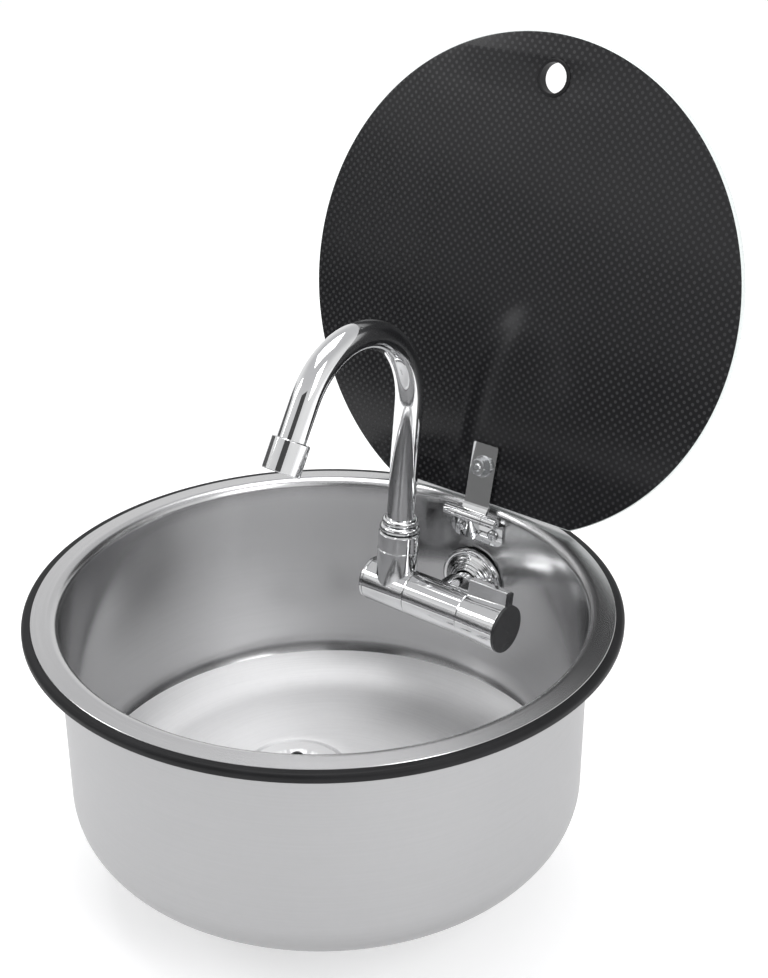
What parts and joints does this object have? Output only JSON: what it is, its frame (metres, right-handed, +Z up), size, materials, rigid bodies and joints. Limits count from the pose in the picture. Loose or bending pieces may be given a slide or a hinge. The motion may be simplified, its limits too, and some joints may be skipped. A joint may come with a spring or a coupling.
{
  "type": "round kitchen sink",
  "caption": "Round drop-in sink bowl with a rubber rim seal, a hinged glass lid with a finger hole, and a folding, swivelling gooseneck tap with a finned knob.",
  "frame": {"origin": "axis of the bowl at the top of the worktop, where the underside of the rim seal rests", "axes": "+Z up; +Y to the back, where the tap and the lid hinge are; +X to the right of a user standing at the front; the lid is stored open and the tap raised"},
  "size_m": [0.3504, 0.4006, 0.4799],
  "materials": {
    "stainless_steel": "satin",
    "chrome": "polished",
    "seal_rubber": "matt",
    "lid_glass": "gloss, printed black from behind with a grid of dots",
    "brass": "turned",
    "black_plastic": "gloss",
    "white_plastic": "moulded",
    "zinc_steel": "zinc plated"
  },
  "bodies": {
    "sink": {"basin": "stainless_steel", "rim_seal": "seal_rubber", "waste_strainer": "stainless_steel", "waste_upper_seal": "seal_rubber", "waste_lower_seal": "seal_rubber", "waste_cup": "black_plastic", "waste_screw": "zinc_steel", "hinge_base_leaf": "chrome", "hinge_base_screws": "zinc_steel", "hinge_base_nuts": "zinc_steel", "hinge_pin": "zinc_steel", "tap_body": "chrome", "fold_o_rings": "seal_rubber", "fold_screw": "brass", "tap_shank": "brass", "tap_wall_flange": "chrome", "tap_wall_gasket": "seal_rubber", "tap_back_gasket": "seal_rubber", "tap_back_washer": "zinc_steel", "tap_backnut": "brass", "valve_cartridge": "brass", "valve_gland_nut": "brass"},
    "lid": {"lid_glass": "lid_glass", "lid_finger_grommet": "seal_rubber", "hinge_lid_strap": "chrome", "lid_pads": "seal_rubber", "lid_back_washer": "zinc_steel", "lid_bolt": "zinc_steel", "lid_front_washer": "zinc_steel", "lid_nut": "zinc_steel"},
    "tap_head": {"tap_head": "chrome", "head_end_cap": "chrome", "spout_collar_nut": "chrome"},
    "spout": {"spout_tube": "chrome", "spout_bush": "brass", "spout_o_ring": "seal_rubber", "spout_beads": "chrome", "aerator_housing": "chrome", "aerator_insert": "white_plastic"},
    "knob": {"knob_body": "chrome", "knob_cap": "black_plastic", "valve_spindle": "brass", "knob_screw": "zinc_steel"}
  },
  "joints": [
    {"name": "lid_hinge", "type": "hinge", "parent": "sink", "child": "lid", "pos_m": [0.0022, 0.1442, 0.001], "axis": [1, 0, 0], "range_deg": [0, 103.2]},
    {"name": "tap_fold", "type": "hinge", "parent": "sink", "child": "tap_head", "pos_m": [-0.0368, 0.1149, -0.0518], "axis": [1, 0, 0], "range_deg": [0, 96]},
    {"name": "spout_swivel", "type": "hinge", "parent": "tap_head", "child": "spout", "pos_m": [-0.0368, 0.1149, -0.0518], "axis": [0, 0.1045, 0.9945], "range_deg": [0, 90]},
    {"name": "knob_turn", "type": "hinge", "parent": "sink", "child": "knob", "pos_m": [0.037, 0.1149, -0.0518], "axis": [1, 0, 0], "range_deg": [0, 90]}
  ],
  "couplings": [
    {"joint": "tap_fold", "follows": "lid_hinge", "ratio": 0.93023},
    {"joint": "spout_swivel", "follows": "lid_hinge", "ratio": 0.87209}
  ]
}
